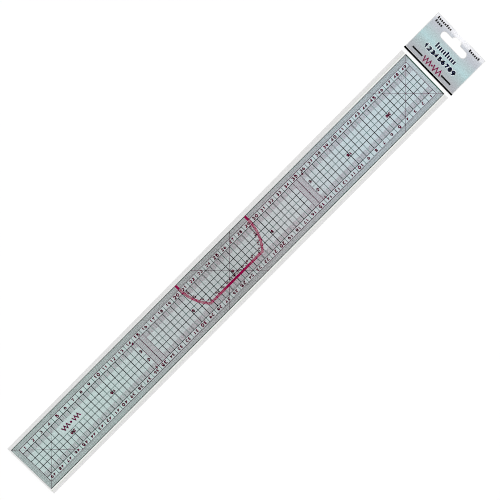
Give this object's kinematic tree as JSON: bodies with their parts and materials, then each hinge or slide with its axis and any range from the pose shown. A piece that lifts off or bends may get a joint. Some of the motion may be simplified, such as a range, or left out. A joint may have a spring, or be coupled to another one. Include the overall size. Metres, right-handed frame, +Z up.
{
  "type": "marking ruler",
  "caption": "Clear flexible marking ruler with a laminated print, in an open-ended film sleeve with a folding header card and hang slot.",
  "frame": {"origin": "on the surface that the pack lies on, under the middle of its bounding box", "axes": "+X along the ruler from its zero end to the header, +Y across the ruler to the edge that carries the protractor, +Z up from the surface through the printed face"},
  "size_m": [0.5496, 0.0618, 0.0016],
  "materials": {
    "clear_sheet": "clear pale green sheet, smooth",
    "green_ink": "printed line, even",
    "magenta_ink": "printed line, even",
    "clear_film": "clear thin film, glossy",
    "printed_card": "printed, smooth",
    "black_ink": "printed bar, even"
  },
  "bodies": {
    "ruler": {"ruler_front_sheet": "clear_sheet", "ruler_back_sheet": "clear_sheet", "grid_print": "green_ink", "protractor_print": "magenta_ink", "left_bias_cross_print": "magenta_ink", "right_bias_cross_print": "magenta_ink", "left_cross_scale_print": "magenta_ink", "right_cross_scale_print": "magenta_ink"},
    "sleeve": {"sleeve_front_panel": "clear_film", "sleeve_upper_wall": "clear_film", "sleeve_lower_wall": "clear_film", "sleeve_end_wall": "clear_film", "sleeve_upper_seam": "clear_film", "sleeve_lower_seam": "clear_film", "sleeve_end_seam": "clear_film", "sleeve_back_film": "clear_film"},
    "header": {"header_front_film": "clear_film", "header_back_film": "clear_film", "header_card": "printed_card", "fold_bar_print": "black_ink"}
  },
  "joints": [
    {"name": "sleeve_slide", "type": "slide", "parent": "ruler", "child": "sleeve", "axis": [1, 0, 0], "range_m": [0, 0.51]},
    {"name": "header_fold", "type": "hinge", "parent": "sleeve", "child": "header", "pos_m": [0.22976, 0, 0.00008], "axis": [0, -1, 0], "range_deg": [0, 135]}
  ]
}
